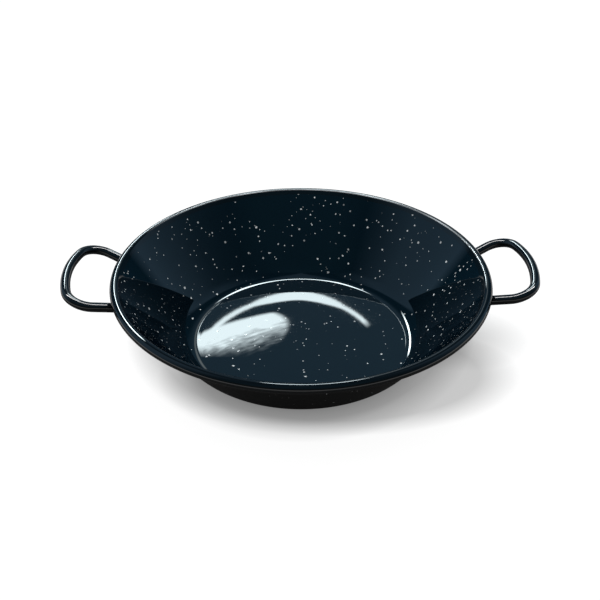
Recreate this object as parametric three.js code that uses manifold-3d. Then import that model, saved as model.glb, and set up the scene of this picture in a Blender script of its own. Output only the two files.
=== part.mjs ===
// Wok bowl: an enamelled bowl pressed from one steel sheet, its rim rolled outward, with two rod handles.
// Millimetres, Z up, origin at the centre of the underside. The handles lie on the X axis, front is -Y.
import * as THREE from 'three';
import { mergeVertices } from 'three/addons/utils/BufferGeometryUtils.js';
import Module from 'manifold-3d';

// Bowl
const RIM_DIAMETER = 200;
const BOWL_HEIGHT = 47.3;
const SHEET = 1.2; // with its enamel on both faces
const FLOOR_RADIUS = 58; // out to where the floor turns up into the wall
const FLAT_RADIUS = 8; // the flat land in the middle, on which the bowl stands
const DISH_RADIUS = 460; // the floor bows up round the flat land
const CORNER_RADIUS = 14; // inside face, from the floor to the wall
const CURL_RADIUS = 2.5; // outside of the rolled rim
const CURL_SLOT = 0.8; // opening between the rolled edge and the wall

// Handles
const ROD_DIAMETER = 5;
const LEG_SPACING = 41.8; // between the two bends at the wall
const LEG_SPLAY = THREE.MathUtils.degToRad(21.2);
const LOOP_TILT = THREE.MathUtils.degToRad(18);
const LOOP_REACH = 25; // from the rim to the outer edge of the loop
const LOOP_CORNER_RADIUS = 11.2;
const LOOP_BOW_RADIUS = 69;
const LEG_BEND_RADIUS = 7;
const FOOT_LENGTH = 13;
const FOOT_WIDTH = 7.6;
const FOOT_THICKNESS = 3.2;
const FOOT_TIP = 2; // length of the rounded end

// Welds
const WELD_LENGTH = 17;
const WELD_WIDTH = 13;
const WELD_HEIGHT = 2.8;

// Fits and fineness
const CLEARANCE = 0.3; // between neighbouring pieces
const LEG_CLEARANCE = 0.3; // between a leg and the curl above it
const TURN_SEGMENTS = 72;
const ROD_SIDES = 14;

const wasm = await Module();
wasm.setup();

// Centres of the half section's arcs, as radius and height
const rimRadius = RIM_DIAMETER / 2;
const curlCentre = new THREE.Vector2(rimRadius - CURL_RADIUS, BOWL_HEIGHT - CURL_RADIUS);
const dishCentre = new THREE.Vector2(FLAT_RADIUS, SHEET + DISH_RADIUS);
const dishSlope = Math.asin((FLOOR_RADIUS - FLAT_RADIUS) / DISH_RADIUS);
const dishDown = new THREE.Vector2(Math.sin(dishSlope), -Math.cos(dishSlope));
const cornerCentre = dishCentre.clone().addScaledVector(dishDown, DISH_RADIUS - CORNER_RADIUS);

// The wall's inside face runs straight from the corner to the curl, touching both circles
const centreLine = curlCentre.clone().sub(cornerCentre);
const wallSlope = centreLine.angle() + Math.asin((CORNER_RADIUS + CURL_RADIUS) / centreLine.length());
const wallUp = new THREE.Vector2(Math.cos(wallSlope), Math.sin(wallSlope));
const wallOut = new THREE.Vector2(Math.sin(wallSlope), -Math.cos(wallSlope));

// A point of the half section, at a distance below the curl's centre and out from the wall's outer face
function wallPoint(below, out) {
  const start = curlCentre.clone().addScaledVector(wallOut, SHEET - CURL_RADIUS);
  return start.addScaledVector(wallUp, -below).addScaledVector(wallOut, out);
}

function arc(centre, radius, from, to, steps) {
  const points = [];
  for (let i = 0; i <= steps; i += 1) {
    const angle = from + ((to - from) * i) / steps;
    points.push(new THREE.Vector2(
      centre.x + radius * Math.cos(angle),
      centre.y + radius * Math.sin(angle),
    ));
  }
  return points;
}

// Manifold solid from a closed geometry, and back
function toSolid(geometry) {
  const bare = geometry.clone();
  bare.deleteAttribute('normal');
  bare.deleteAttribute('uv');
  const merged = mergeVertices(bare, 1e-4);
  return new wasm.Manifold(new wasm.Mesh({
    numProp: 3,
    vertProperties: new Float32Array(merged.attributes.position.array),
    triVerts: new Uint32Array(merged.index.array),
  }));
}

function toGeometry(solid) {
  const mesh = solid.getMesh();
  const geometry = new THREE.BufferGeometry();
  geometry.setAttribute('position', new THREE.BufferAttribute(mesh.vertProperties, 3));
  geometry.setIndex(new THREE.BufferAttribute(mesh.triVerts, 1));
  geometry.computeVertexNormals();
  return geometry;
}

// A half section that starts and ends on the axis, turned about Z; it runs up the outside
function turned(profile) {
  const rings = profile.slice(1, -1);
  const positions = [0, 0, profile[0].y, 0, 0, profile[profile.length - 1].y];
  const index = [];
  const at = (ring, segment) => 2 + ring * TURN_SEGMENTS + (segment % TURN_SEGMENTS);
  rings.forEach((point) => {
    for (let segment = 0; segment < TURN_SEGMENTS; segment += 1) {
      const angle = (2 * Math.PI * segment) / TURN_SEGMENTS;
      positions.push(point.x * Math.cos(angle), point.x * Math.sin(angle), point.y);
    }
  });
  for (let segment = 0; segment < TURN_SEGMENTS; segment += 1) {
    index.push(0, at(0, segment + 1), at(0, segment));
    index.push(1, at(rings.length - 1, segment), at(rings.length - 1, segment + 1));
    for (let ring = 0; ring + 1 < rings.length; ring += 1) {
      index.push(at(ring, segment), at(ring, segment + 1), at(ring + 1, segment + 1));
      index.push(at(ring, segment), at(ring + 1, segment + 1), at(ring + 1, segment));
    }
  }
  const geometry = new THREE.BufferGeometry();
  geometry.setAttribute('position', new THREE.Float32BufferAttribute(positions, 3));
  geometry.setIndex(index);
  return geometry;
}

// One sheet: up the outside, round inside the curl, back over its outside and down the inside
function bowlShell() {
  const inner = CURL_RADIUS - SHEET;
  const start = wallSlope + Math.PI / 2;
  const touch = Math.acos(inner / CURL_RADIUS);
  const end = start + touch + CURL_SLOT / CURL_RADIUS - 2 * Math.PI;
  const flat = -Math.PI / 2;
  const floorEdge = flat + dishSlope;
  const wall = flat + wallSlope;
  const profile = [
    new THREE.Vector2(0, 0),
    ...arc(dishCentre, DISH_RADIUS + SHEET, flat, floorEdge, 4).slice(0, -1),
    ...arc(cornerCentre, CORNER_RADIUS + SHEET, floorEdge, wall, 6),
    ...arc(curlCentre, inner, start, end, 12),
    ...arc(curlCentre, CURL_RADIUS, end, start, 18),
    ...arc(cornerCentre, CORNER_RADIUS, wall, floorEdge, 6),
    ...arc(dishCentre, DISH_RADIUS, floorEdge, flat, 4).slice(1),
    new THREE.Vector2(0, SHEET),
  ];
  return toGeometry(toSolid(turned(profile)));
}

// Where the centre line of a leg, passing under the curl, would meet the centre line of its foot
const legUp = new THREE.Vector2(Math.cos(LOOP_TILT), Math.sin(LOOP_TILT));
const legDown = new THREE.Vector2(Math.sin(LOOP_TILT), -Math.cos(LOOP_TILT));
const footOut = CLEARANCE + FOOT_THICKNESS / 2;
const underCurl = curlCentre.clone().addScaledVector(legDown, CURL_RADIUS + ROD_DIAMETER / 2 + LEG_CLEARANCE);
const bendBelow = wallPoint(0, footOut).sub(underCurl).cross(legUp) / wallUp.cross(legUp);
const bend = wallPoint(bendBelow, footOut);
const footAzimuth = Math.asin(LEG_SPACING / 2 / bend.x);

// A point or direction of the half section, set at the azimuth of the rear foot on +X
function atFoot(point) {
  return new THREE.Vector3(point.x * Math.cos(footAzimuth), point.x * Math.sin(footAzimuth), point.y);
}

// Half of the loop in its own plane, from the bend at the wall to the middle of the bar
function loopHalf() {
  const half = LEG_SPACING / 2;
  const end = (rimRadius + LOOP_REACH - ROD_DIAMETER / 2 - atFoot(bend).x) / Math.cos(LOOP_TILT);
  const bowCentre = new THREE.Vector2(end - LOOP_BOW_RADIUS, 0);
  const along = new THREE.Vector2(Math.cos(LEG_SPLAY), Math.sin(LEG_SPLAY));
  const inward = new THREE.Vector2(along.y, -along.x);
  const offset = new THREE.Vector2(0, half).addScaledVector(inward, LOOP_CORNER_RADIUS);
  const fromBow = offset.clone().sub(bowCentre);
  const advance = fromBow.dot(along);
  const gap = fromBow.lengthSq() - (LOOP_BOW_RADIUS - LOOP_CORNER_RADIUS) ** 2;
  const centre = offset.addScaledVector(along, Math.sqrt(advance ** 2 - gap) - advance);
  const meet = centre.clone().sub(bowCentre).angle();
  const turn = arc(centre, LOOP_CORNER_RADIUS, LEG_SPLAY + Math.PI / 2, meet, 9);
  const bar = arc(bowCentre, LOOP_BOW_RADIUS, meet, 0, 5);
  return [...turn, ...bar.slice(1)];
}

// From the loop's own plane to the part, through the bends at the wall
function onLoop(point) {
  return new THREE.Vector3(
    atFoot(bend).x + point.x * Math.cos(LOOP_TILT),
    point.y,
    bend.y + point.x * Math.sin(LOOP_TILT),
  );
}

// A round bend between two straight runs
function roundedBend(corner, before, after, radius, steps) {
  const half = before.angleTo(after) / 2;
  const reach = radius * Math.tan(half);
  const inside = after.clone().sub(before).normalize();
  const centre = corner.clone().addScaledVector(inside, radius / Math.cos(half));
  const points = [];
  for (let i = 0; i <= steps; i += 1) {
    const angle = half * ((2 * i) / steps - 1);
    const axis = before.clone().add(after).normalize();
    points.push(centre.clone()
      .addScaledVector(inside, -radius * Math.cos(angle))
      .addScaledVector(axis, radius * Math.sin(angle)));
  }
  return { points, reach };
}

// Stations along the rear half of a handle, from the foot's tip to the middle of the bar
function halfStations() {
  const corner = atFoot(bend);
  const footUp = atFoot(wallUp);
  const footNormal = atFoot(wallOut).negate();
  const loopNormal = new THREE.Vector3(-Math.sin(LOOP_TILT), 0, Math.cos(LOOP_TILT));
  const loop = loopHalf().map(onLoop);
  const legAlong = loop[0].clone().sub(corner).normalize();
  const { points, reach } = roundedBend(corner, footUp, legAlong, LEG_BEND_RADIUS, 6);
  const tip = corner.clone().addScaledVector(footUp, -FOOT_LENGTH - reach);
  const rounded = [0.06, 0.3, 0.65, 1].map((share) => ({
    point: tip.clone().addScaledVector(footUp, share * FOOT_TIP),
    size: Math.sqrt(1 - (1 - share) ** 2),
    flat: 1,
    normal: footNormal,
  }));
  const bent = points.map((point, i) => ({
    point,
    size: 1,
    flat: 1 - THREE.MathUtils.smoothstep(i, 0, points.length + 1),
    normal: footNormal.clone().lerp(loopNormal, i / (points.length - 1)),
  }));
  const round = loop.map((point) => ({ point, size: 1, flat: 0, normal: loopNormal }));
  return [...rounded, ...bent, ...round];
}

function mirrored(station) {
  const flip = new THREE.Vector3(1, -1, 1);
  return { ...station, point: station.point.clone().multiply(flip), normal: station.normal.clone().multiply(flip) };
}

// One section of the rod: round on the loop, wide and thin at the foot
function rodSection(station, tangent, grow) {
  const thin = station.normal.clone().addScaledVector(tangent, -station.normal.dot(tangent)).normalize();
  const wide = thin.clone().cross(tangent);
  const halfWidth = THREE.MathUtils.lerp(ROD_DIAMETER, FOOT_WIDTH, station.flat) / 2;
  const halfThickness = THREE.MathUtils.lerp(ROD_DIAMETER, FOOT_THICKNESS, station.flat) / 2;
  const section = [];
  for (let side = 0; side < ROD_SIDES; side += 1) {
    const angle = (2 * Math.PI * side) / ROD_SIDES;
    section.push(station.point.clone()
      .addScaledVector(wide, (halfWidth * station.size + grow) * Math.cos(angle))
      .addScaledVector(thin, (halfThickness * station.size + grow) * Math.sin(angle)));
  }
  return section;
}

// A closed skin over the stations of a rod
function loft(stations, grow) {
  const last = stations.length - 1;
  const positions = [];
  const index = [];
  stations.forEach((station, i) => {
    const before = stations[Math.max(i - 1, 0)].point;
    const after = stations[Math.min(i + 1, last)].point;
    const tangent = after.clone().sub(before).normalize();
    rodSection(station, tangent, grow).forEach((point) => positions.push(...point));
  });
  const at = (ring, side) => ring * ROD_SIDES + (side % ROD_SIDES);
  for (let side = 0; side < ROD_SIDES; side += 1) {
    for (let ring = 0; ring < last; ring += 1) {
      index.push(at(ring, side), at(ring, side + 1), at(ring + 1, side + 1));
      index.push(at(ring, side), at(ring + 1, side + 1), at(ring + 1, side));
    }
  }
  for (let side = 1; side + 1 < ROD_SIDES; side += 1) {
    index.push(at(0, 0), at(0, side + 1), at(0, side));
    index.push(at(last, 0), at(last, side), at(last, side + 1));
  }
  const geometry = new THREE.BufferGeometry();
  geometry.setAttribute('position', new THREE.Float32BufferAttribute(positions, 3));
  geometry.setIndex(index);
  return geometry;
}

function handle() {
  const half = halfStations();
  const other = half.slice(0, -1).reverse().map(mirrored);
  return toGeometry(toSolid(loft([...half, ...other], 0)));
}

// The bowl's wall as a full block, a clearance larger than its outer face
function wallBlock() {
  const low = wallPoint(bendBelow + FOOT_LENGTH + WELD_LENGTH, CLEARANCE);
  const high = wallPoint(0, CLEARANCE);
  return toSolid(turned([new THREE.Vector2(0, low.y), low, high, new THREE.Vector2(0, high.y)]));
}

// A weld lies round the tip and sides of the rear foot on +X, clear of the foot and the wall
function weld() {
  const stations = halfStations();
  const foot = loft(stations.slice(0, stations.length - loopHalf().length), CLEARANCE);
  const centre = atFoot(wallPoint(bendBelow + FOOT_LENGTH * 0.8, 0));
  const placed = new THREE.Matrix4().makeBasis(
    atFoot(wallUp),
    new THREE.Vector3(-Math.sin(footAzimuth), Math.cos(footAzimuth), 0),
    atFoot(wallOut).negate(),
  );
  const mound = new THREE.SphereGeometry(1, 28, 18)
    .scale(WELD_LENGTH / 2, WELD_WIDTH / 2, WELD_HEIGHT)
    .applyMatrix4(placed)
    .translate(centre.x, centre.y, centre.z);
  return toGeometry(toSolid(mound).subtract(wallBlock()).subtract(toSolid(foot)));
}

// The front weld is the rear one mirrored across the XZ plane, with its faces turned back outward
function frontWeld() {
  const geometry = weld().scale(1, -1, 1);
  const index = geometry.index.array;
  for (let i = 0; i < index.length; i += 3) {
    [index[i], index[i + 1]] = [index[i + 1], index[i]];
  }
  geometry.computeVertexNormals();
  return geometry;
}

const enamel = { color: 0x0b121b, roughness: 0.15, metalness: 0 };
const part = new THREE.Group();

function addPiece(name, geometry) {
  const mesh = new THREE.Mesh(geometry, new THREE.MeshStandardMaterial(enamel));
  mesh.name = name;
  part.add(mesh);
}

addPiece('bowl_shell', bowlShell());
addPiece('right_handle', handle());
addPiece('left_handle', handle().rotateZ(Math.PI));
addPiece('right_rear_weld', weld());
addPiece('right_front_weld', frontWeld());
addPiece('left_front_weld', weld().rotateZ(Math.PI));
addPiece('left_rear_weld', frontWeld().rotateZ(Math.PI));

export default part;
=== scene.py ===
import math

import bpy
import numpy as np
from mathutils import Matrix, Vector

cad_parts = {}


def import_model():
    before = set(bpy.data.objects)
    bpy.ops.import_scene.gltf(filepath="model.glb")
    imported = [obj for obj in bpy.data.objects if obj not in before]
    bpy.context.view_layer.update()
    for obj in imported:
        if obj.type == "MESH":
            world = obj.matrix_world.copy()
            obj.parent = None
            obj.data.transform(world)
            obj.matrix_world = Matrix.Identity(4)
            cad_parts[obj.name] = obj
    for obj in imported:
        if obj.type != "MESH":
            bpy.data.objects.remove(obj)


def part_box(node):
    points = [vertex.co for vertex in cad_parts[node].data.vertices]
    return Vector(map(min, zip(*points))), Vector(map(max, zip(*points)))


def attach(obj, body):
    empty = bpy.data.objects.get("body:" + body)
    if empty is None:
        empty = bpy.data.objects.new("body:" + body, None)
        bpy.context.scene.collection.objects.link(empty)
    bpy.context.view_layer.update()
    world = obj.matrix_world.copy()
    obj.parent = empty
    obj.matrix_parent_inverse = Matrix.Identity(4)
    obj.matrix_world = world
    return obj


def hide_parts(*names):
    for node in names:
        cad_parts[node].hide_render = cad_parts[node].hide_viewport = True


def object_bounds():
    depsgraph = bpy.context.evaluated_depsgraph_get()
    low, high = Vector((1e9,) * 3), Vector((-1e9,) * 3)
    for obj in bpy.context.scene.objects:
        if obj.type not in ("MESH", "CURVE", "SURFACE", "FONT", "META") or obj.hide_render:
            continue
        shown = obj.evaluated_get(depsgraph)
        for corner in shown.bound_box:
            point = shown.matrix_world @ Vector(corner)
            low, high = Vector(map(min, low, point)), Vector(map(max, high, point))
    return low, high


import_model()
cad_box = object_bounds()

MM = 0.001
ORIGIN = Vector((0, 0, 0))

# Bowl, as the solids have it
bowl_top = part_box("bowl_shell")[1]
RIM_RADIUS = bowl_top[0]
BOWL_HEIGHT = bowl_top[2]
SHEET = 1.2 * MM
FLOOR_RADIUS = 58 * MM
FLAT_RADIUS = 8 * MM
DISH_RADIUS = 460 * MM
CORNER_RADIUS = 14 * MM
CURL_RADIUS = 2.5 * MM
CURL_SLOT = 0.8 * MM

# Steps of the bowl's mesh, round the axis and along the section
TURN_STEPS = 360
LAND_STEPS = 4
OUTER_FLOOR_STEPS = 12
OUTER_CORNER_STEPS = 28
WALL_STEPS = 24
CURL_INSIDE_STEPS = 24
CURL_OUTSIDE_STEPS = 56
INNER_CORNER_STEPS = 40
FLOOR_EDGE_STEPS = 6
FLOOR_EDGE_WIDTH = 1.5 * MM
INNER_FLOOR_STEPS = 34

# Handles, as the solids have them
ROD_RADIUS = 2.5 * MM
LEG_SPACING = 41.8 * MM
LEG_SPLAY = math.radians(21.2)
LOOP_TILT = math.radians(18)
LOOP_REACH = cad_box[1][0] - RIM_RADIUS
LOOP_CORNER_RADIUS = 11.2 * MM
LOOP_BOW_RADIUS = 69 * MM
LEG_BEND_RADIUS = 7 * MM
FOOT_LENGTH = 13 * MM
FOOT_WIDTH = 7.6 * MM
FOOT_THICKNESS = 3.2 * MM
FOOT_TIP = 2 * MM
CLEARANCE = 0.3 * MM
LEG_CLEARANCE = 0.3 * MM

# Steps of a handle's mesh, round the rod and along it
ROD_STEPS = 32
TIP_RINGS = 10
TIP_START = 0.03
FOOT_STEPS = 8
LEG_BEND_STEPS = 16
LEG_STEPS = 10
LOOP_CORNER_STEPS = 28
LOOP_BOW_STEPS = 24

# Share of the change from flat foot to round rod that the bend takes, and the leg's steps for the rest
BEND_SHARE = 0.8
ROUNDING_STEPS = 3

# Welds
WELD_LENGTH = 17 * MM
WELD_WIDTH = 13 * MM
WELD_HEIGHT = 2.8 * MM
WELD_SINK = 0.2 * MM
WELD_UNEVEN = 0.04
WELD_ALONG_FOOT = 0.8
WELD_RINGS = 14
WELD_STEPS = 56

# Enamels: the two tints that mottle each, the depth of its ripple, its gloss and its density of specks
INSIDE_TINTS = ((0.0008, 0.0035, 0.0065), (0.0015, 0.006, 0.0095))
OUTSIDE_TINTS = ((0.0015, 0.0015, 0.0012), (0.003, 0.0028, 0.0022))
BLACK_TINTS = ((0.0015, 0.002, 0.0025), (0.003, 0.004, 0.005))
SMOOTH_RIPPLE = 0.0002 * MM
OUTSIDE_RIPPLE = 0.0005 * MM
WELD_RIPPLE = 0.03 * MM
FULL_GLOSS = 0.5
OUTSIDE_GLOSS = 0.3
INSIDE_DENSITY = 0.85
OUTSIDE_DENSITY = 0.15
ENAMEL_ROUGHNESS = 0.01
ENAMEL_IOR = 1.5
SPECK_COLOUR = (0.8, 0.84, 0.85)

# Painted highlight, a pale line on the rim: its distances in from the rim's edge, and its lean from the back
# to the right
RIM_GLINT_COLOUR = (0.5, 0.53, 0.55)
RIM_GLINT_INNER = 3.9 * MM
RIM_GLINT_OUTER = 3.2 * MM
RIM_GLINT_SOFT = 0.3 * MM
RIM_GLINT_TO_RIGHT = 0.3

# Camera
CAMERA_AIM = Vector((-0.56, 0, 26.95)) * MM
CAMERA_DISTANCE = 443.7 * MM
CAMERA_AZIMUTH = math.radians(-178.02)
CAMERA_ELEVATION = math.radians(33.13)
CAMERA_LENS = 48.96
CAMERA_SENSOR = 36
CAMERA_NEAR = 10 * MM

# Lamps: a broad one over the bowl, and a strip for the gloss of the handles
LAMP_AZIMUTH = math.radians(-110)
LAMP_ELEVATION = math.radians(72)
LAMP_DISTANCE = 2.5
LAMP_SIZE = 2
LAMP_RADIANCE = 2.8
STRIP_AZIMUTH = 0
STRIP_ELEVATION = math.radians(75)
STRIP_DISTANCE = 1.2
STRIP_LENGTH = 1.6
STRIP_WIDTH = 0.16
STRIP_RADIANCE = 30

# Floor, with painted shadows in its glow
FLOOR_HALF = 6
FLOOR_GREY = 0.12
FLOOR_GLOW = 0.94
CONTACT_GLOW = 0.1
CONTACT_DARK_TO = 40 * MM
CONTACT_CLEAR_FROM = 72 * MM
# Painted shade: the floor is dark to mirrored rays near and under the bowl
MIRROR_DARK_TO = 2 * RIM_RADIUS
MIRROR_CLEAR_FROM = 4 * RIM_RADIUS
SHADE_DEPTH = 0.58

# Room
WHITE = (1.0, 1.0, 1.0)
DIFFUSE_LIGHT = (0.5, 0.5, 0.5)
ROOM_COLOUR = (0.014, 0.056, 0.096)
REAR_COLOUR = (0.16, 0.29, 0.41)
SIDE_COLOUR = (0.2, 0.36, 0.52)
FRONT_LOW_COLOUR = (0.05, 0.06, 0.06)
FRONT_HIGH_COLOUR = (0.035, 0.11, 0.17)
WINDOW_TINT = (0.82, 0.96, 1.0)
LOW_WINDOW_RADIANCE = 14
ARCH_RADIANCE = 14
HIGH_WINDOW_RADIANCE = 28
RIGHT_WINDOW_RADIANCE = 1.5
SIDE_WINDOW_RADIANCE = 40


# Curves of the half section, as arrays of radius and height


def polar(angle):
    return np.array([math.cos(angle), math.sin(angle)])


def arc(centre, radius, start, end, steps):
    angles = np.linspace(start, end, steps + 1)
    return centre + radius * np.stack([np.cos(angles), np.sin(angles)], axis=1)


def line(start, end, steps):
    return start + (end - start) * np.linspace(0, 1, steps + 1)[:, None]


def cross(a, b):
    return a[0] * b[1] - a[1] * b[0]


CURL_CENTRE = np.array([RIM_RADIUS - CURL_RADIUS, BOWL_HEIGHT - CURL_RADIUS])
DISH_CENTRE = np.array([FLAT_RADIUS, SHEET + DISH_RADIUS])
DISH_SLOPE = math.asin((FLOOR_RADIUS - FLAT_RADIUS) / DISH_RADIUS)
CORNER_CENTRE = DISH_CENTRE + (DISH_RADIUS - CORNER_RADIUS) * polar(DISH_SLOPE - math.pi / 2)
between = CURL_CENTRE - CORNER_CENTRE
WALL_SLOPE = math.atan2(between[1], between[0])
WALL_SLOPE += math.asin((CORNER_RADIUS + CURL_RADIUS) / np.linalg.norm(between))
WALL_UP = polar(WALL_SLOPE)
WALL_OUT = polar(WALL_SLOPE - math.pi / 2)

# The inside is one dish from the axis to the corner, where the solid has a flat land and a dish
corner_drop = SHEET - CORNER_CENTRE[1]
INSIDE_RADIUS = CORNER_RADIUS**2 - CORNER_CENTRE[0] ** 2 - corner_drop**2
INSIDE_RADIUS /= 2 * (corner_drop + CORNER_RADIUS)
INSIDE_SLOPE = math.atan2(CORNER_CENTRE[0], INSIDE_RADIUS + corner_drop)
INSIDE_CENTRE = np.array([0, SHEET + INSIDE_RADIUS])


def wall_point(below, out):
    """A point below the curl's centre, along the wall, and out from the wall's outer face."""
    return CURL_CENTRE + (SHEET - CURL_RADIUS + out) * WALL_OUT - below * WALL_UP


def bowl_profile():
    """The sheet's outline from axis to axis, in three parts: outside, curl and inside."""
    down = -math.pi / 2
    curl_inner = CURL_RADIUS - SHEET
    curl_start = WALL_SLOPE + math.pi / 2
    curl_turn = math.acos(curl_inner / CURL_RADIUS) + CURL_SLOT / CURL_RADIUS - 2 * math.pi
    curl_end = curl_start + curl_turn
    dish_end, wall = DISH_SLOPE + down, WALL_SLOPE + down
    floor_end = INSIDE_SLOPE + down
    near_end = floor_end - FLOOR_EDGE_WIDTH / INSIDE_RADIUS
    outer_floor = arc(DISH_CENTRE, DISH_RADIUS + SHEET, down, dish_end, OUTER_FLOOR_STEPS)
    outer_corner = arc(CORNER_CENTRE, CORNER_RADIUS + SHEET, dish_end, wall, OUTER_CORNER_STEPS)
    curl_inside = arc(CURL_CENTRE, curl_inner, curl_start, curl_end, CURL_INSIDE_STEPS)
    curl_outside = arc(CURL_CENTRE, CURL_RADIUS, curl_end, curl_start, CURL_OUTSIDE_STEPS)
    inner_corner = arc(CORNER_CENTRE, CORNER_RADIUS, wall, floor_end, INNER_CORNER_STEPS)
    floor_edge = arc(INSIDE_CENTRE, INSIDE_RADIUS, floor_end, near_end, FLOOR_EDGE_STEPS)
    inner_floor = arc(INSIDE_CENTRE, INSIDE_RADIUS, near_end, down, INNER_FLOOR_STEPS)
    outside = [
        line(np.array([0, 0]), outer_floor[0], LAND_STEPS)[:-1],
        outer_floor[:-1],
        outer_corner,
        line(outer_corner[-1], curl_inside[0], WALL_STEPS)[1:-1],
    ]
    curl = [curl_inside, curl_outside]
    inside = [
        line(curl_outside[-1], inner_corner[0], WALL_STEPS)[1:-1],
        inner_corner,
        floor_edge[1:-1],
        inner_floor,
    ]
    return [np.concatenate(part) for part in (outside, curl, inside)]


# Meshes


def mesh_object(name, points, faces, materials):
    mesh = bpy.data.meshes.new(name)
    mesh.from_pydata([tuple(point) for point in points], [], faces)
    mesh.validate()
    mesh.shade_smooth()
    for material in materials:
        mesh.materials.append(material)
    piece = bpy.data.objects.new(name, mesh)
    bpy.context.collection.objects.link(piece)
    return piece


def lofted(name, rings, ends, materials):
    """A closed skin over rings of points, with a fan of faces to a point at each end."""
    count, steps = rings.shape[:2]
    last = (count - 1) * steps
    first_end = count * steps
    faces = []
    for here in range(0, last, steps):
        above = here + steps
        for step in range(steps):
            after = (step + 1) % steps
            faces.append((here + step, here + after, above + after, above + step))
    for step in range(steps):
        after = (step + 1) % steps
        faces.append((first_end, after, step))
        faces.append((first_end + 1, last + step, last + after))
    return mesh_object(name, np.concatenate([rings.reshape(-1, 3), ends]), faces, materials)


def turned(name, profile, materials):
    """A half section that starts and ends on the axis, turned about Z."""
    section = profile[1:-1]
    angles = np.linspace(0, 2 * math.pi, TURN_STEPS, endpoint=False)
    rings = np.zeros((len(section), TURN_STEPS, 3))
    rings[:, :, 0] = section[:, :1] * np.cos(angles)
    rings[:, :, 1] = section[:, :1] * np.sin(angles)
    rings[:, :, 2] = section[:, 1:]
    ends = [(0, 0, profile[0][1]), (0, 0, profile[-1][1])]
    return lofted(name, rings, ends, materials)


def bowl(materials):
    """The turned sheet, with a material each for its outside, its curl and its inside."""
    outside, curl, inside = bowl_profile()
    piece = turned("bowl", np.concatenate([outside, curl, inside]), materials)
    curl_from = len(outside) - 1
    inside_from = curl_from + len(curl)
    for i, face in enumerate(piece.data.polygons):
        ring = i // TURN_STEPS
        face.material_index = int(ring >= curl_from) + int(ring >= inside_from)
    # The last faces are the two fans on the axis, outside and inside by turns
    for face in list(piece.data.polygons)[-2 * TURN_STEPS::2]:
        face.material_index = 0
    return piece


# Places on the wall where a leg bends into its foot and where the welds lie

FOOT_OUT = CLEARANCE + FOOT_THICKNESS / 2
LOOP_OUT = polar(LOOP_TILT)
UNDER_CURL = CURL_CENTRE + (CURL_RADIUS + ROD_RADIUS + LEG_CLEARANCE) * polar(LOOP_TILT - math.pi / 2)
BEND_BELOW = cross(wall_point(0, FOOT_OUT) - UNDER_CURL, LOOP_OUT) / cross(WALL_UP, LOOP_OUT)
BEND = wall_point(BEND_BELOW, FOOT_OUT)
FOOT_AZIMUTH = math.asin(LEG_SPACING / 2 / BEND[0])
WELD_BELOW = BEND_BELOW + WELD_ALONG_FOOT * FOOT_LENGTH


def at_foot(point):
    """A point or direction of the half section, at the azimuth of the rear foot on +X."""
    return np.array([point[0] * math.cos(FOOT_AZIMUTH), point[0] * math.sin(FOOT_AZIMUTH), point[1]])


def loop_half():
    """Half of the loop in its own plane, from the end of the leg to the middle of the bar."""
    reach = (RIM_RADIUS + LOOP_REACH - ROD_RADIUS - at_foot(BEND)[0]) / math.cos(LOOP_TILT)
    bow_centre = np.array([reach - LOOP_BOW_RADIUS, 0])
    along = polar(LEG_SPLAY)
    offset = np.array([0, LEG_SPACING / 2]) + LOOP_CORNER_RADIUS * polar(LEG_SPLAY - math.pi / 2)
    from_bow = offset - bow_centre
    advance = from_bow @ along
    gap = from_bow @ from_bow - (LOOP_BOW_RADIUS - LOOP_CORNER_RADIUS) ** 2
    centre = offset + (math.sqrt(advance**2 - gap) - advance) * along
    meet = math.atan2(centre[1] - bow_centre[1], centre[0] - bow_centre[0])
    turn = arc(centre, LOOP_CORNER_RADIUS, LEG_SPLAY + math.pi / 2, meet, LOOP_CORNER_STEPS)
    bar = arc(bow_centre, LOOP_BOW_RADIUS, meet, 0, LOOP_BOW_STEPS)
    return np.concatenate([turn, bar[1:]])


def on_loop(point):
    """A point of the loop's own plane, in the frame."""
    start = at_foot(BEND)
    out, up = point[0] * LOOP_OUT
    return np.array([start[0] + out, point[1], start[2] + up])


def rounded_bend(corner, before, after, radius, steps):
    """Points of the arc that rounds a corner between two directions."""
    half = math.acos(before @ after) / 2
    inside = (after - before) / np.linalg.norm(after - before)
    axis = (after + before) / np.linalg.norm(after + before)
    centre = corner + inside * radius / math.cos(half)
    angles = np.linspace(-half, half, steps + 1)
    return [centre + radius * (axis * math.sin(angle) - inside * math.cos(angle)) for angle in angles]


def smoothstep(value):
    value = min(max(value, 0), 1)
    return value * value * (3 - 2 * value)


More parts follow.
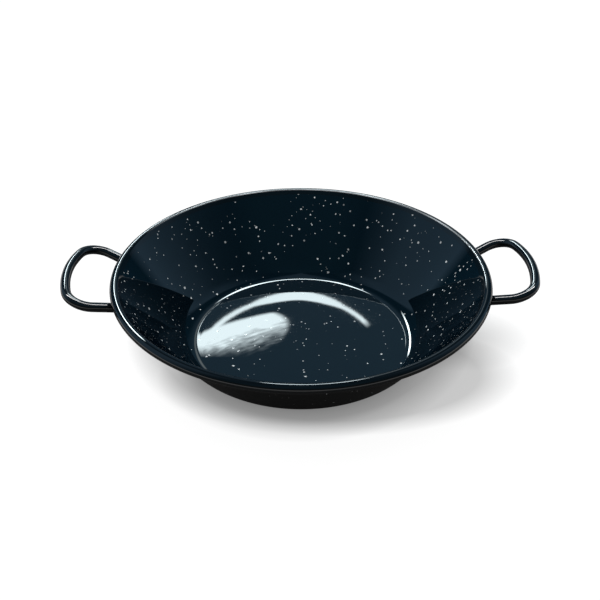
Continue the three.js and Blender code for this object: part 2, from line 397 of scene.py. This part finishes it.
def half_stations():
    """From the tip of the rear foot on +X to the middle of the bar.

    Each station is a point, the direction of the rod's thin side, its size and its flatness.
    """
    corner, foot_up = at_foot(BEND), at_foot(WALL_UP)
    foot_thin = -at_foot(WALL_OUT)
    loop_thin = np.array([-math.sin(LOOP_TILT), 0, math.cos(LOOP_TILT)])
    loop = [on_loop(point) for point in loop_half()]
    leg = (loop[0] - corner) / np.linalg.norm(loop[0] - corner)
    bent = rounded_bend(corner, foot_up, leg, LEG_BEND_RADIUS, LEG_BEND_STEPS)
    bend_reach = LEG_BEND_RADIUS * math.tan(math.acos(foot_up @ leg) / 2)
    tip = corner - (FOOT_LENGTH + bend_reach) * foot_up
    stations = []
    for share in np.sin(np.linspace(TIP_START, 1, TIP_RINGS) * math.pi / 2) ** 2:
        size = math.sqrt(1 - (1 - share) ** 2)
        stations.append((tip + share * FOOT_TIP * foot_up, foot_thin, size, 1))
    for point in line(stations[-1][0], bent[0], FOOT_STEPS)[1:-1]:
        stations.append((point, foot_thin, 1, 1))
    for i, point in enumerate(bent):
        turn = i / LEG_BEND_STEPS
        thin = foot_thin + (loop_thin - foot_thin) * turn
        stations.append((point, thin, 1, 1 - smoothstep(BEND_SHARE * turn)))
    for i, point in enumerate(line(bent[-1], loop[0], LEG_STEPS)[1:-1]):
        rounded = BEND_SHARE + (1 - BEND_SHARE) * (i + 1) / ROUNDING_STEPS
        stations.append((point, loop_thin, 1, 1 - smoothstep(rounded)))
    return stations + [(point, loop_thin, 1, 0) for point in loop]


def mirrored(station):
    """The same station on the other side of the XZ plane."""
    flip = np.array([1, -1, 1])
    return (station[0] * flip, station[1] * flip, station[2], station[3])


def rod_section(station, tangent):
    """The ring of points round the rod at a station."""
    point, thin, size, flat = station
    thin = thin - (thin @ tangent) * tangent
    thin = thin / np.linalg.norm(thin)
    wide = np.cross(thin, tangent)
    half_width = ROD_RADIUS + (FOOT_WIDTH / 2 - ROD_RADIUS) * flat
    half_thickness = ROD_RADIUS + (FOOT_THICKNESS / 2 - ROD_RADIUS) * flat
    angles = np.linspace(0, 2 * math.pi, ROD_STEPS, endpoint=False)
    across = half_width * size * np.cos(angles)[:, None] * wide
    through = half_thickness * size * np.sin(angles)[:, None] * thin
    return point + across + through


def handle(name, turn, material):
    """The bent rod from the tip of one foot to the tip of the other, turned about Z."""
    half = half_stations()
    stations = half + [mirrored(station) for station in reversed(half[:-1])]
    path = np.array([station[0] for station in stations])
    tangents = np.gradient(path, axis=0)
    tangents /= np.linalg.norm(tangents, axis=1)[:, None]
    rings = np.array([rod_section(station, tangent) for station, tangent in zip(stations, tangents)])
    rotation = np.array(Matrix.Rotation(turn, 3, "Z")).T
    return lofted(name, rings @ rotation, path[[0, -1]] @ rotation, [material])


def on_wall(up, aside, out, azimuth):
    """A point by its way up the wall, round the bowl and out from the middle of a weld."""
    point = wall_point(WELD_BELOW - up, out)
    turn = azimuth + aside / point[0]
    return (point[0] * math.cos(turn), point[0] * math.sin(turn), point[1])


def weld_mound(name, azimuth, material):
    """A low mound on the wall round the end of a foot, with an uneven edge that runs into the wall."""
    points = []
    for climb in np.linspace(0, math.pi / 2, WELD_RINGS, endpoint=False):
        out = WELD_HEIGHT * math.sin(climb) - WELD_SINK
        for around in np.linspace(0, 2 * math.pi, WELD_STEPS, endpoint=False):
            waves = math.sin(5 * around + 1) * math.sin(2 * around)
            size = math.cos(climb) * (1 + WELD_UNEVEN * waves)
            up = WELD_LENGTH / 2 * size * math.cos(around)
            aside = WELD_WIDTH / 2 * size * math.sin(around)
            points.append(on_wall(up, aside, out, azimuth))
    points.append(on_wall(0, 0, WELD_HEIGHT - WELD_SINK, azimuth))
    last, top = (WELD_RINGS - 1) * WELD_STEPS, WELD_RINGS * WELD_STEPS
    faces = [tuple(range(WELD_STEPS))]
    for step in range(WELD_STEPS):
        after = (step + 1) % WELD_STEPS
        for here in range(0, last, WELD_STEPS):
            above = here + WELD_STEPS
            faces.append((here + after, here + step, above + step, above + after))
        faces.append((last + after, last + step, top))
    return mesh_object(name, points, faces, [material])


# Shader nodes


def node(tree, kind, **inputs):
    made = tree.nodes.new(kind)
    for key, value in inputs.items():
        made.inputs[key.replace("_", " ")].default_value = value
    return made


def math_node(tree, operation, *values):
    made = tree.nodes.new("ShaderNodeMath")
    made.operation = operation
    for socket, value in zip(made.inputs, values):
        if isinstance(value, (int, float)):
            socket.default_value = value
        else:
            tree.links.new(value, socket)
    return made.outputs[0]


def product(tree, first, *others):
    for other in others:
        first = math_node(tree, "MULTIPLY", first, other)
    return first


def noise(tree, position, scale, detail):
    made = node(tree, "ShaderNodeTexNoise", Scale=scale, Detail=detail)
    tree.links.new(position, made.inputs["Vector"])
    return made.outputs["Fac"]


def ramp(tree, value, low, high, result_low, result_high):
    """One result up to a low value, another from a high value, and straight between them."""
    ends = {"From_Min": low, "From_Max": high, "To_Min": result_low, "To_Max": result_high}
    made = node(tree, "ShaderNodeMapRange", **ends)
    tree.links.new(value, made.inputs["Value"])
    return made.outputs["Result"]


def rise(tree, value, low, high):
    return ramp(tree, value, low, high, 0, 1)


def fall(tree, value, low, high):
    return ramp(tree, value, low, high, 1, 0)


def band(tree, value, low, high, soft):
    """1 between two values and 0 outside them, with soft ends."""
    start = rise(tree, value, low - soft / 2, low + soft / 2)
    end = fall(tree, value, high - soft / 2, high + soft / 2)
    return product(tree, start, end)


def mixed(tree, factor, first, second):
    """Two colours, or a colour's socket and a colour, mixed by a factor."""
    made = tree.nodes.new("ShaderNodeMix")
    made.data_type = "RGBA"
    tree.links.new(factor, made.inputs["Factor"])
    for key, colour in (("A", first), ("B", second)):
        if isinstance(colour, tuple):
            made.inputs[key].default_value = (*colour, 1)
        else:
            tree.links.new(colour, made.inputs[key])
    return made.outputs["Result"]


def object_position(tree):
    return tree.nodes.new("ShaderNodeTexCoord").outputs["Object"]


def axes(tree, vector):
    """The sockets X, Y and Z of a vector."""
    split = tree.nodes.new("ShaderNodeSeparateXYZ")
    tree.links.new(vector, split.inputs["Vector"])
    return split.outputs


def new_material(name):
    material = bpy.data.materials.new(name)
    material.use_nodes = True
    tree = material.node_tree
    return material, tree, tree.nodes["Principled BSDF"]


# Materials


def enamel_ripple(tree, shader, position, depth):
    """The soft orange peel of fired enamel, as a bump of three sizes."""
    broad = noise(tree, position, scale=170, detail=1)
    middling = noise(tree, position, scale=400, detail=1)
    fine = noise(tree, position, scale=1000, detail=1)
    height = product(tree, broad, depth)
    height = math_node(tree, "MULTIPLY_ADD", middling, depth / 3, height)
    height = math_node(tree, "MULTIPLY_ADD", fine, depth / 8, height)
    bump = node(tree, "ShaderNodeBump", Strength=1.0, Distance=1.0)
    tree.links.new(height, bump.inputs["Height"])
    tree.links.new(bump.outputs["Normal"], shader.inputs["Normal"])


def speckles(tree, position, share, cell, smallest, largest):
    """Pale specks of uneven size and strength, one in a share of the cells, as a mask."""
    faintest = 0.3
    blur_out, blur_in = 0.06 * MM, 0.1 * MM
    cells = node(tree, "ShaderNodeTexVoronoi", Scale=1 / cell)
    tree.links.new(position, cells.inputs["Vector"])
    chance = tree.nodes.new("ShaderNodeSeparateColor")
    tree.links.new(cells.outputs["Color"], chance.inputs["Color"])
    present = math_node(tree, "LESS_THAN", chance.outputs[0], share)
    radius = ramp(tree, chance.outputs[1], 0, 1, smallest / cell, largest / cell)
    inside = math_node(tree, "SUBTRACT", radius, cells.outputs["Distance"])
    edge = rise(tree, inside, -blur_out / cell, blur_in / cell)
    strength = ramp(tree, chance.outputs[2], 0, 1, faintest, 1)
    return product(tree, edge, present, strength)


def pushed_about(tree, position):
    """The position, pushed about a little so that the specks aren't round."""
    push = 0.3 * MM
    wobble = node(tree, "ShaderNodeTexNoise", Scale=1400, Detail=1)
    tree.links.new(position, wobble.inputs["Vector"])
    offset = tree.nodes.new("ShaderNodeVectorMath")
    offset.operation = "MULTIPLY_ADD"
    tree.links.new(wobble.outputs["Color"], offset.inputs[0])
    offset.inputs[1].default_value = (push, push, push)
    tree.links.new(position, offset.inputs[2])
    return offset.outputs["Vector"]


def thrown_specks(tree, position, density):
    """Specks of three sizes, thrown on in clusters and fewer on the floor, as a mask."""
    sparse, floor_share = 0.15 * density, 0.5
    floor_top, wall_from = 4 * MM, 14 * MM
    clusters = noise(tree, position, scale=55, detail=2)
    clustered = ramp(tree, clusters, low=0.3, high=0.7, result_low=sparse, result_high=density)
    height = axes(tree, position)["Z"]
    share = product(tree, clustered, ramp(tree, height, floor_top, wall_from, floor_share, 1))
    pushed = pushed_about(tree, position)
    small = speckles(tree, pushed, share, cell=2.9 * MM, smallest=0.26 * MM, largest=0.48 * MM)
    middling = speckles(tree, pushed, share, cell=4.3 * MM, smallest=0.36 * MM, largest=0.66 * MM)
    large = speckles(tree, pushed, share, cell=6.3 * MM, smallest=0.5 * MM, largest=0.78 * MM)
    return math_node(tree, "MAXIMUM", math_node(tree, "MAXIMUM", small, middling), large)


def enamel(name, tints, ripple=SMOOTH_RIPPLE, gloss=FULL_GLOSS, density=0):
    """Glossy enamel of two dark tints, with pale specks where it has a density of them."""
    material, tree, shader = new_material(name)
    position = object_position(tree)
    shader.inputs["Roughness"].default_value = ENAMEL_ROUGHNESS
    shader.inputs["IOR"].default_value = ENAMEL_IOR
    shader.inputs["Specular IOR Level"].default_value = gloss
    colour = mixed(tree, noise(tree, position, scale=30, detail=3), *tints)
    if density:
        colour = mixed(tree, thrown_specks(tree, position, density), colour, SPECK_COLOUR)
    tree.links.new(colour, shader.inputs["Base Color"])
    enamel_ripple(tree, shader, position, ripple)
    return material


def painted_rim_glint(material):
    """Paints a pale highlight, in patches, along the curl's inner shoulder at the back and the right."""
    tree = material.node_tree
    base = tree.nodes["Principled BSDF"].inputs["Base Color"]
    position = object_position(tree)
    place = axes(tree, position)
    squared = product(tree, place["X"], place["X"])
    squared = math_node(tree, "MULTIPLY_ADD", place["Y"], place["Y"], squared)
    radius = math_node(tree, "SQRT", squared)
    shoulder = band(tree, radius, RIM_RADIUS - RIM_GLINT_INNER, RIM_RADIUS - RIM_GLINT_OUTER, RIM_GLINT_SOFT)
    cloud = noise(tree, position, scale=40, detail=2)
    patches = ramp(tree, cloud, low=0.35, high=0.65, result_low=0.35, result_high=1)
    rearwards = math_node(tree, "MULTIPLY_ADD", place["X"], RIM_GLINT_TO_RIGHT, place["Y"])
    glint_to_back_right = rise(tree, rearwards, low=15 * MM, high=55 * MM)
    # A painted highlight, paler towards the back and the right
    painted_glint = product(tree, patches, glint_to_back_right, shoulder)
    tree.links.new(mixed(tree, painted_glint, base.links[0].from_socket, RIM_GLINT_COLOUR), base)
    return material


# Floor, lamps and camera


def from_bowl(azimuth, elevation):
    """The direction at an azimuth, 0 straight behind the bowl and positive to the right, and an elevation."""
    level = math.cos(elevation)
    return Vector((math.sin(azimuth) * level, math.cos(azimuth) * level, math.sin(elevation)))


def facing(name, data, aim, azimuth, elevation, distance):
    """A lamp or camera that faces a point from a direction and a distance."""
    made = bpy.data.objects.new(name, data)
    direction = from_bowl(azimuth, elevation)
    made.location = aim + direction * distance
    made.rotation_euler = direction.to_track_quat("Z", "Y").to_euler()
    bpy.context.collection.objects.link(made)
    return made


def distance_from(tree, centre, stretch):
    """The distance on the ground from a point in mm, with the depth stretched."""
    stretched = tree.nodes.new("ShaderNodeVectorMath")
    stretched.operation = "MULTIPLY"
    tree.links.new(object_position(tree), stretched.inputs[0])
    stretched.inputs[1].default_value = (1, stretch, 1)
    distance = tree.nodes.new("ShaderNodeVectorMath")
    distance.operation = "DISTANCE"
    tree.links.new(stretched.outputs["Vector"], distance.inputs[0])
    distance.inputs[1].default_value = Vector((centre[0], stretch * centre[1], 0)) * MM
    return distance.outputs["Value"]


def shade(tree, centre, stretch, dark_to, clear_from):
    """A soft painted shade round a point, dark up to one distance in mm and clear from another."""
    distance = distance_from(tree, centre, stretch)
    return ramp(tree, distance, dark_to * MM, clear_from * MM, SHADE_DEPTH, 1)


def floor_glow(tree):
    """The floor's glow, with painted shadows round the bowl for the camera; to mirrored rays it glows only
    well away from the bowl.
    """
    path = tree.nodes.new("ShaderNodeLightPath").outputs
    from_axis = distance_from(tree, (0, 0), 1)
    # Painted shadows in the camera's glow: at the bowl's foot, round it, before it and to its right
    contact_shade = ramp(tree, from_axis, CONTACT_DARK_TO, CONTACT_CLEAR_FROM, CONTACT_GLOW, FLOOR_GLOW)
    round_shade = shade(tree, centre=(0, 30), stretch=0.9, dark_to=87, clear_from=102)
    front_shade = shade(tree, centre=(20, -31), stretch=2, dark_to=74, clear_from=97)
    side_shade = shade(tree, centre=(88, 0), stretch=1.4, dark_to=8, clear_from=44)
    camera_glow = product(tree, contact_shade, round_shade, front_shade, side_shade)
    # A painted shade near the bowl, seen only in reflections
    mirrored_glow = ramp(tree, from_axis, MIRROR_DARK_TO, MIRROR_CLEAR_FROM, 0, FLOOR_GLOW)
    mirrored_ray = math_node(tree, "MAXIMUM", path["Is Glossy Ray"], path["Is Transmission Ray"])
    strength = product(tree, mirrored_glow, mirrored_ray)
    return math_node(tree, "MULTIPLY_ADD", camera_glow, path["Is Camera Ray"], strength)


def floor():
    """A ground that is white by its own glow, with painted shadows in that glow, and takes the lamp's shadow
    too.
    """
    half = FLOOR_HALF
    mesh = bpy.data.meshes.new("studio_floor")
    corners = [(-half, -half, 0), (half, -half, 0), (half, half, 0), (-half, half, 0)]
    mesh.from_pydata(corners, [], [(0, 1, 2, 3)])
    plane = bpy.data.objects.new("studio_floor", mesh)
    bpy.context.collection.objects.link(plane)
    material, tree, shader = new_material("studio_floor")
    shader.inputs["Base Color"].default_value = (FLOOR_GREY, FLOOR_GREY, FLOOR_GREY, 1)
    shader.inputs["Roughness"].default_value = 1
    shader.inputs["Specular IOR Level"].default_value = 0
    shader.inputs["Emission Color"].default_value = (*WHITE, 1)
    tree.links.new(floor_glow(tree), shader.inputs["Emission Strength"])
    mesh.materials.append(material)


def overhead_light():
    """The broad lamp high on the left that lights the floor and the specks; the enamel doesn't mirror it."""
    light = bpy.data.lights.new("overhead", "AREA")
    light.shape = "DISK"
    light.size = LAMP_SIZE
    light.energy = LAMP_RADIANCE * math.pi * math.pi * LAMP_SIZE**2 / 4
    lamp = facing("overhead", light, ORIGIN, LAMP_AZIMUTH, LAMP_ELEVATION, LAMP_DISTANCE)
    lamp.visible_glossy = False


def handle_light(handles):
    """A strip lamp high behind the bowl, which only the gloss of the handles shows."""
    light = bpy.data.lights.new("handle_strip", "AREA")
    light.shape = "RECTANGLE"
    light.size = STRIP_LENGTH
    light.size_y = STRIP_WIDTH
    light.energy = STRIP_RADIANCE * math.pi * STRIP_LENGTH * STRIP_WIDTH
    light.diffuse_factor = 0
    lamp = facing("handle_strip", light, ORIGIN, STRIP_AZIMUTH, STRIP_ELEVATION, STRIP_DISTANCE)
    lit = bpy.data.collections.new("handle_strip_lit")
    for piece in handles:
        lit.objects.link(piece)
    lamp.light_linking.receiver_collection = lit


def camera():
    data = bpy.data.cameras.new("camera")
    data.lens = CAMERA_LENS
    data.sensor_width = CAMERA_SENSOR
    data.clip_start = CAMERA_NEAR
    made = facing("camera", data, CAMERA_AIM, CAMERA_AZIMUTH, CAMERA_ELEVATION, CAMERA_DISTANCE)
    bpy.context.scene.camera = made


# Windows of the room, as masks over the azimuth and elevation in degrees


def low_window(tree, azimuth, elevation):
    """A slanting pane with a round end that fades downwards in streaks: the broad glint on the floor."""
    slant, offset = -2.7, 3.46
    streak_depth, streaks_along, streaks_across = 2.4, 6, 5
    middle, end_curve = 35.7, 0.04
    across = math_node(tree, "MULTIPLY_ADD", azimuth, slant, math_node(tree, "ADD", elevation, offset))
    place = tree.nodes.new("ShaderNodeCombineXYZ")
    tree.links.new(product(tree, azimuth, streaks_along), place.inputs["X"])
    tree.links.new(product(tree, across, streaks_across), place.inputs["Y"])
    streaks = noise(tree, place.outputs["Vector"], scale=1, detail=3)
    lowered = math_node(tree, "ADD", across, -streak_depth / 2)
    streaked = math_node(tree, "MULTIPLY_ADD", streaks, streak_depth, lowered)
    fade = math_node(tree, "POWER", rise(tree, streaked, low=33.6, high=36), 2)
    top = fall(tree, across, low=37, high=37.25)
    raised = math_node(tree, "ADD", across, -middle)
    end = math_node(tree, "MULTIPLY_ADD", product(tree, raised, raised), end_curve, azimuth)
    ends = band(tree, end, low=0.5, high=1.94, soft=0.06)
    return product(tree, fade, top, ends, rise(tree, elevation, low=33.8, high=35))


def window_arch(tree, azimuth, elevation):
    """The narrow arch over the pane, which draws the curved line on the floor."""
    middle, top, tip_width = 2.06, 40.92, 0.06
    steepness, lean, soft = 5.2, 0.5, 0.08
    aside = math_node(tree, "SUBTRACT", azimuth, middle)
    bent = math_node(tree, "SQRT", math_node(tree, "MULTIPLY_ADD", aside, aside, tip_width**2))
    leaning = math_node(tree, "MULTIPLY_ADD", aside, lean, elevation)
    above = math_node(tree, "MULTIPLY_ADD", bent, steepness, leaning)
    off_centre = math_node(tree, "ABSOLUTE", math_node(tree, "SUBTRACT", above, top))
    half_width = ramp(tree, bent, low=tip_width, high=0.3, result_low=0.5, result_high=0.15)
    outside = math_node(tree, "SUBTRACT", off_centre, half_width)
    arch = fall(tree, outside, low=-soft, high=soft)
    return product(tree, arch, band(tree, azimuth, low=1, high=2.68, soft=0.12))


def high_window(tree, azimuth, elevation):
    """The pane whose glint follows the turn from floor to wall at the back. Its left end bends upwards."""
    left_bend = 0.35
    left = math_node(tree, "MINIMUM", azimuth, 0)
    level = math_node(tree, "MULTIPLY_ADD", left, left_bend, elevation)
    width = band(tree, azimuth, low=-4, high=11.8, soft=1)
    return product(tree, width, band(tree, level, low=45.5, high=52, soft=1.5))


def right_window(tree, azimuth, elevation):
    """A dim pane to the right, which lines the turn at the left of the floor."""
    width = band(tree, azimuth, low=4.5, high=9, soft=2)
    return product(tree, width, band(tree, elevation, low=24, high=43, soft=4))


def side_window(tree, azimuth, elevation):
    """A bright bent strip to the left, which lines the turn at the right, the rim and the handles."""
    left, straight_to, bend = 10, 21, 0.0018
    raised = math_node(tree, "MAXIMUM", math_node(tree, "SUBTRACT", elevation, straight_to), 0)
    bent = product(tree, math_node(tree, "POWER", raised, 3), bend)
    across = math_node(tree, "ADD", math_node(tree, "ADD", azimuth, left), bent)
    half_width = ramp(tree, elevation, low=22, high=36, result_low=0.8, result_high=3.2)
    outside = math_node(tree, "SUBTRACT", math_node(tree, "ABSOLUTE", across), half_width)
    strip = fall(tree, outside, low=-0.5, high=0.5)
    return product(tree, strip, band(tree, elevation, low=24, high=40, soft=5))


# Room and world


def room_colour(tree, azimuth, elevation):
    """A dark cool room, neutral low down before the bowl, with pale walls behind it and on both sides."""
    middle = 3
    aside = math_node(tree, "ABSOLUTE", math_node(tree, "SUBTRACT", azimuth, middle))
    from_rear = math_node(tree, "ABSOLUTE", azimuth)
    behind = fall(tree, aside, low=8, high=25)
    behind = product(tree, behind, ramp(tree, elevation, low=10, high=45, result_low=0.3, result_high=1))
    colour = mixed(tree, behind, ROOM_COLOUR, REAR_COLOUR)
    front = mixed(tree, rise(tree, elevation, low=25, high=40), FRONT_LOW_COLOUR, FRONT_HIGH_COLOUR)
    colour = mixed(tree, rise(tree, from_rear, low=110, high=150), colour, front)
    beside = product(
        tree,
        rise(tree, from_rear, low=46, high=54),
        fall(tree, from_rear, low=80, high=125),
        fall(tree, elevation, low=50, high=75),
        ramp(tree, azimuth, low=-60, high=60, result_low=1.25, result_high=0.95),
        ramp(tree, azimuth, low=58, high=95, result_low=1, result_high=0.45),
    )
    return mixed(tree, beside, colour, SIDE_COLOUR)


def world():
    """White behind the bowl and at the horizon, and a dark room with windows for the enamel to mirror."""
    made = bpy.data.worlds.new("studio")
    made.use_nodes = True
    tree = made.node_tree
    direction = axes(tree, tree.nodes.new("ShaderNodeTexCoord").outputs["Generated"])
    path = tree.nodes.new("ShaderNodeLightPath").outputs
    azimuth = math_node(tree, "DEGREES", math_node(tree, "ARCTAN2", direction["X"], direction["Y"]))
    elevation = math_node(tree, "DEGREES", math_node(tree, "ARCSINE", direction["Z"]))
    room = room_colour(tree, azimuth, elevation)
    room = mixed(tree, fall(tree, direction["Z"], low=0.01, high=0.04), room, WHITE)
    windows = {
        low_window: LOW_WINDOW_RADIANCE,
        window_arch: ARCH_RADIANCE,
        high_window: HIGH_WINDOW_RADIANCE,
        right_window: RIGHT_WINDOW_RADIANCE,
        side_window: SIDE_WINDOW_RADIANCE,
    }
    for window, radiance in windows.items():
        light = tuple(radiance * part for part in WINDOW_TINT)
        room = mixed(tree, window(tree, azimuth, elevation), room, light)
    room = mixed(tree, path["Is Diffuse Ray"], room, DIFFUSE_LIGHT)
    colour = mixed(tree, path["Is Camera Ray"], room, WHITE)
    tree.links.new(colour, tree.nodes["Background"].inputs["Color"])
    bpy.context.scene.world = made


# Assembly


def dress(piece, node_name):
    """Puts a piece in a solid's place."""
    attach(piece, "root")
    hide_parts(node_name)


inside_enamel = enamel("speckled_enamel", INSIDE_TINTS, density=INSIDE_DENSITY)
outside_enamel = enamel("outside_enamel", OUTSIDE_TINTS, OUTSIDE_RIPPLE, OUTSIDE_GLOSS, OUTSIDE_DENSITY)
black_enamel = enamel("black_enamel", BLACK_TINTS)
# The rim's enamel carries a painted highlight along its inner shoulder
rim_enamel = painted_rim_glint(enamel("rim_enamel", BLACK_TINTS))
weld_enamel = enamel("weld_enamel", BLACK_TINTS, WELD_RIPPLE)

dress(bowl([outside_enamel, rim_enamel, inside_enamel]), "bowl_shell")
loops = []
for side, turn in (("right", 0), ("left", math.pi)):
    loops.append(handle(f"{side}_loop", turn, black_enamel))
    dress(loops[-1], f"{side}_handle")
weld_azimuths = {
    "right_rear": FOOT_AZIMUTH,
    "right_front": -FOOT_AZIMUTH,
    "left_front": math.pi + FOOT_AZIMUTH,
    "left_rear": math.pi - FOOT_AZIMUTH,
}
for name, azimuth in weld_azimuths.items():
    dress(weld_mound(f"{name}_mound", azimuth, weld_enamel), f"{name}_weld")

handle_light(loops)
floor()
world()
overhead_light()
camera()
bpy.context.scene.view_settings.view_transform = "Standard"
